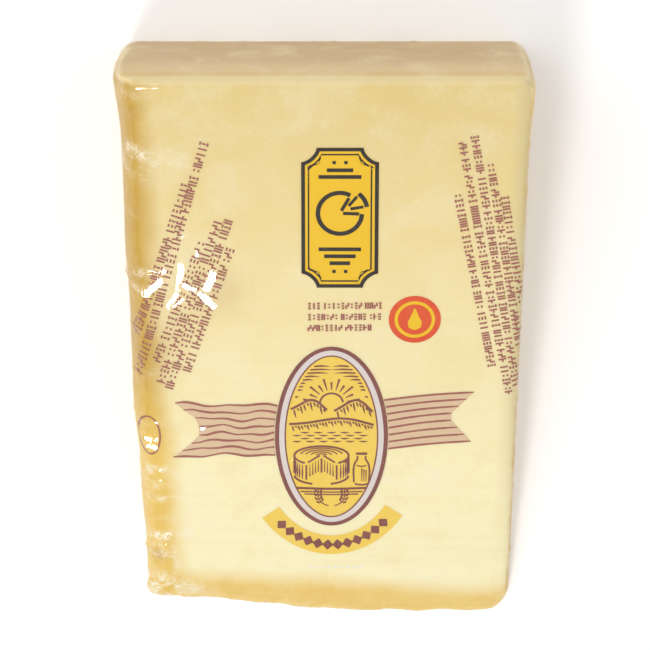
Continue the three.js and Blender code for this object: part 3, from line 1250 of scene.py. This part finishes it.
def banner_marks():
    """A lozenge between each two points of the strip, apart from its ends."""
    marks = []
    centres = [Vector(point) for point in banner_points()[1:-1]]
    for before, after in zip(centres, centres[1:]):
        reach = (after - before).normalized() * MARK_REACH
        middle = (before + after) / 2
        tail, tip = middle - reach, middle + reach
        marks.append(([(*tail, 0.1), (*middle, 1.0), (*tip, 0.1)], MARK_WIDTH))
    return marks


def dash_lines():
    return [([(u, DASHES_V), (u + DASH_LENGTH, DASHES_V)], DASH_WIDTH) for u in DASH_STARTS]


def drop_lines():
    """The roundel's drop: one stroke that swells and closes again."""
    points = [(0, 3.6, 0.1), (0, 1.4, 0.5), (0, -0.9, 1.0), (0, -2.6, 0.85), (0, -3.4, 0.2)]
    return [(moved(points, *ROUNDEL), DROP_WIDTH)]


# ---------------------------------------------------------------- pressing the print on

# How thick a stamp is that cuts a layer of ink out, and how far two faces of the layer may
# turn from each other and still look smooth.
STAMP_HEIGHT = 14
SMOOTH_ANGLE = math.radians(35)

# The least cosine between the face's normal and that of a patch that can carry print.
PRINTED_COSINE = 0.4

# The inks: tone, the tone of thin places, wear.
INKS = {
    "brown": ("7F4640", "A8705F", 0.25),
    "black": ("1C140A", "3C2C16", 0.15),
    "yellow": ("F5CE50", "F7DA7C", 0.2),
    "deep yellow": ("F4C208", "F5CA38", 0.1),
    "red": ("E04A22", "EC7838", 0.15),
    "pale": ("DFD3CF", "E8DCCB", 0.2),
    "beige": ("DFBF9C", "E9CFA0", 0.4),
    "soft brown": ("A05A50", "B98270", 0.3),
    "white": ("FBF5E4", "FBF0CC", 0.5),
}


def face_sheet(pack_shape):
    """The upper cut face and its shoulders alone."""
    sheet = copy_of(pack_shape, "face_sheet")
    face_normal = np.array([0, -math.sin(SECTOR_ANGLE), math.cos(SECTOR_ANGLE)])
    turned_away = vectors(sheet.data.polygons, "normal") @ face_normal < PRINTED_COSINE
    with editing(sheet, "FACE", turned_away):
        bpy.ops.mesh.delete(type="FACE")
    return sheet


class Press:
    """Prints on the sheet that it's given, with its own inks."""

    def __init__(self, sheet):
        self.sheet = sheet
        self.inks = {name: ink_material(f"{name} ink", *mix) for name, mix in INKS.items()}

    def layer(self, name, shapes, depth, ink):
        """Presses flat shapes on the cheese's upper face as one thin layer of ink."""
        stamp = join(shapes, "stamp")
        with editing(stamp, "VERT"):
            bpy.ops.mesh.remove_doubles(threshold=MERGE_GAP)
        finish_with(stamp, "SOLIDIFY", thickness=STAMP_HEIGHT * MM, offset=0)
        with editing(stamp):
            bpy.ops.mesh.normals_make_consistent(inside=False)
        stamp.data.transform(FACE_PLACE)

        layer = copy_of(self.sheet, name)
        finish_with(layer, "DISPLACE", strength=-depth * MM, mid_level=0)
        finish_with(layer, "SOLIDIFY", thickness=INK_THICKNESS * MM, offset=-1)
        finish_with(layer, "BOOLEAN", operation="INTERSECT", solver="MANIFOLD", object=stamp)
        bpy.data.objects.remove(stamp)
        layer.data.materials.clear()
        layer.data.materials.append(self.inks[ink])
        only(layer)
        bpy.ops.object.shade_smooth_by_angle(angle=SMOOTH_ANGLE)
        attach(layer, BODY)

    def broad(self, name, ink, *shapes):
        self.layer(name, shapes, BROAD_INK_DEPTH, ink)

    def fine(self, name, ink, *shapes):
        self.layer(name, shapes, FINE_INK_DEPTH, ink)


def print_medallion(press):
    """The stripes, then two rings round a pale one, and a drawing on a yellow field."""
    press.broad("stripe_tint", "beige", *stripe_tint())
    press.fine("stripes", "soft brown", strokes(stripe_lines()))
    inner_margin = RING_WIDTH + PALE_WIDTH
    press.fine("medallion_rings", "brown", outline_band(medallion_disc(), RING_WIDTH),
               outline_band(medallion_disc(inner_margin), THIN_WIDTH))
    press.fine("medallion_pale_ring", "pale", outline_band(medallion_disc(RING_WIDTH), PALE_WIDTH))
    press.broad("medallion_field", "yellow", medallion_disc(inner_margin + THIN_WIDTH * 0.5))
    press.fine("medallion_drawing", "brown", strokes(landscape_lines()))


def print_plaque(press):
    """A field with hollow corners, a broad border and a thin one inside it."""
    press.broad("plaque_field", "deep yellow", plaque_shape())
    border = outline_band(plaque_shape(), PLAQUE_BORDER)
    thin_border = outline_band(inner_part(plaque_shape(), INNER_BORDER_MARGIN), INNER_BORDER)
    press.fine("plaque_drawing", "black", border, thin_border, strokes(plaque_lines()))


def print_roundel(press):
    press.broad("roundel_field", "red", disc(*ROUNDEL, ROUNDEL_RADIUS))
    ring = outline_band(disc(*ROUNDEL, ROUNDEL_RADIUS - ROUNDEL_MARGIN), ROUNDEL_RING)
    press.fine("roundel_drawing", "deep yellow", ring, strokes(drop_lines()))


def print_the_bag(sheet):
    press = Press(sheet)
    print_medallion(press)
    print_plaque(press)
    print_roundel(press)
    press.fine("small_print", "soft brown", strokes(small_print_lines()))
    press.broad("banner_strip", "yellow", strokes([(banner_points(), BANNER_WIDTH)]))
    press.fine("banner_marks", "brown", strokes(banner_marks()))
    press.fine("small_oval", "soft brown", outline_band(disc(*SMALL_OVAL), SMALL_OVAL_RING))
    press.fine("pale_dashes", "white", strokes(dash_lines()))


# ---------------------------------------------------------------- the whole pack

# Where the creased film looks pale, each from one point to the other: u, v, u, v, half width,
# strength. The paleness is painted on the cheese, partly the film's haze and partly painted
# reflection of its creases.
PALE_CREASES = [
    (-50.8, 33.2, -46.0, 34.3, 1.2, 1.0), (-46.6, 34.3, -40.8, 35.8, 1.5, 0.5),
    (-45.7, 30.0, -45.1, 25.0, 0.9, 0.9), (-45.2, 23.4, -42.0, 24.4, 0.8, 0.8),
    (-48.6, 28.5, -48.1, 28.3, 1.5, 1.0), (-51.8, 30.0, -49.6, 31.0, 0.8, 0.7),
    (-53.5, 17.2, -37.0, 14.4, 2.3, 1.0), (-36.0, 37.5, -30.0, 38.5, 1.6, 0.4),
    (20.0, 53.0, 34.0, 51.0, 2.0, 0.5), (30.0, 58.0, 35.0, 55.0, 1.4, 0.5),
    (-57.5, 161.8, -51.0, 158.6, 1.3, 0.5), (-51.0, 158.6, -38.0, 155.0, 1.6, 0.35),
    (-57.5, 56.4, -48.0, 57.0, 1.2, 0.7), (-55.5, 50.2, -47.0, 51.5, 1.0, 0.5),
    (-52.6, 46.8, -41.0, 48.0, 1.2, 0.35), (-47.0, 56.2, -33.0, 54.2, 1.4, 0.35),
]

# Darker spots in the paste: u, v, size, strength.
DARK_SPOTS_AND_SHADE = [(-30.0, 116.0, 7.0, 0.28), (-53.0, 95.0, 9.0, 0.35), (-55.6, 172.5, 2.6, 0.3),
               (-50.4, 27.0, 1.9, 0.6), (-47.0, 104.0, 8.0, 0.15), (22.0, 178.0, 6.0, 0.08)]

# The noise that makes the paleness ragged: strength, size of its lumps, seed. Without the
# noise this share of the paleness is left.
VEIL_NOISE = [(0.9, 4, 21), (0.5, 1.8, 4)]
VEIL_SHARE = 0.45

# The most that paleness and darkness may cover.
MOST_COVER = 0.7


def pale_places(places):
    """How pale each crease makes the cheese look, one after the other: painted paleness, partly
    the film's haze and partly painted reflection, with painted glare round the pucker's glints.
    """
    for at, width, _, down, over, strength in SHOULDER_PLEATS:
        streak = shoulder_pleat(places, at, 1.5 * width, down * 0.5, over * 1.6, bell)
        yield 1.2 * strength * streak
    yield 0.8 * bell(places.gap_to(*EAR) / 7)
    for *ends, half_width, strength in PALE_CREASES:
        yield strength * bell(places.gap_to_line(*ends)[0] / half_width) * (places.top < 4)
    # Painted glare round the pucker's glints.
    yield 0.35 * bell(places.gap_to(*PUCKER, 9, 6))


def make_cheese(pack_shape):
    cheese = copy_of(pack_shape, "cheese")
    refine(cheese, 1.8, lambda places: places.top < 3)
    refine(cheese, 0.8, near_the_sawn_shoulder)
    finish_with(cheese, "DISPLACE", strength=-CHEESE_DEPTH * MM, mid_level=0)
    places = Places(cheese)
    noises = (rise * noise_field(cheese, size, seed) for rise, size, seed in VEIL_NOISE)
    ragged = sum(noises, VEIL_SHARE)
    # The creased film's paleness, painted on the cheese: partly haze, partly painted reflection.
    add_attribute(cheese, "film_haze_and_reflection", (sum(pale_places(places)) * ragged).clip(0, MOST_COVER))
    # Darker spots; the first is painted shade of a shallow hollow.
    spots_and_shade = sum(strength * bell(places.gap_to(u, v) / size) for u, v, size, strength in DARK_SPOTS_AND_SHADE)
    add_attribute(cheese, "spots_and_shade", spots_and_shade.clip(0, MOST_COVER))
    cheese.data.materials.append(cheese_material())
    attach(cheese, BODY)
    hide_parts(NODE)


def make_film(pack_shape):
    film = copy_of(pack_shape, "shrink_film")
    refine(film, 1.9, lambda places: places.above > 1)
    refine(film, 0.95, near_the_edges)
    refine(film, 0.5, where_it_puckers)
    refine(film, 0.22, where_it_shines)
    wrinkle(film)
    film.data.materials.append(film_material())
    only(film)
    bpy.ops.object.shade_smooth()
    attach(film, BODY)
    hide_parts(NODE)


# ---------------------------------------------------------------- floor, light and camera

def make_floor():
    bpy.ops.mesh.primitive_grid_add(x_subdivisions=8, y_subdivisions=8, size=4)
    floor = bpy.context.object
    floor.name = "floor"
    material, shader = new_material("pale floor")
    shader.surface(shader.add("ShaderNodeBsdfPrincipled", {
        "Base Color": (0.95, 0.95, 0.95, 1), "Roughness": 0.8, "Specular IOR Level": 0.1,
        "Emission Color": (1, 1, 1, 1), "Emission Strength": 0.21}))
    floor.data.materials.append(material)


def add_softbox(name, location, aim, size, power):
    bpy.ops.object.light_add(type="AREA", location=location)
    lamp = bpy.context.object
    lamp.name = name
    lamp.data.shape = "RECTANGLE"
    lamp.data.size, lamp.data.size_y = size
    lamp.data.energy = power
    lamp.rotation_euler = (Vector(aim) - Vector(location)).to_track_quat("-Z", "Y").to_euler()


def make_light():
    world = bpy.data.worlds.new("pale room")
    world.use_nodes = True
    background = world.node_tree.nodes["Background"]
    background.inputs["Color"].default_value = (1, 1, 1, 1)
    background.inputs["Strength"].default_value = 0.45
    bpy.context.scene.world = world
    middle = (0, 0, 0.03)
    add_softbox("high_left", (-0.75, 0.2, 1.3), middle, (1.2, 1.2), 6.2)
    glint_place = [value * MM for value in GLINT_LAMP]
    add_softbox("glint_maker", glint_place, (-0.03, 0.01, 0.04), (0.23, 0.23), 4.8)
    add_softbox("right_side", (1.1, 0.1, 0.9), middle, (0.5, 0.9), 2.2)
    add_softbox("behind", (-0.4, 1.3, 0.7), middle, (0.9, 0.5), 0.3)


def make_camera():
    location = [value * MM for value in CAMERA_PLACE]
    bpy.ops.object.camera_add(location=location, rotation=(CAMERA_TILT, 0, 0))
    camera = bpy.context.object
    camera.data.angle = CAMERA_VIEW
    bpy.context.scene.camera = camera


PEN = pen()
coarse_shape, fine_shape = smooth_pack(1), smooth_pack(2)
make_cheese(fine_shape)
make_film(coarse_shape)
sheet = face_sheet(fine_shape)
print_the_bag(sheet)
for helper in (PEN, sheet, coarse_shape, fine_shape):
    bpy.data.objects.remove(helper)
make_floor()
make_light()
make_camera()
bpy.context.scene.view_settings.view_transform = "Standard"
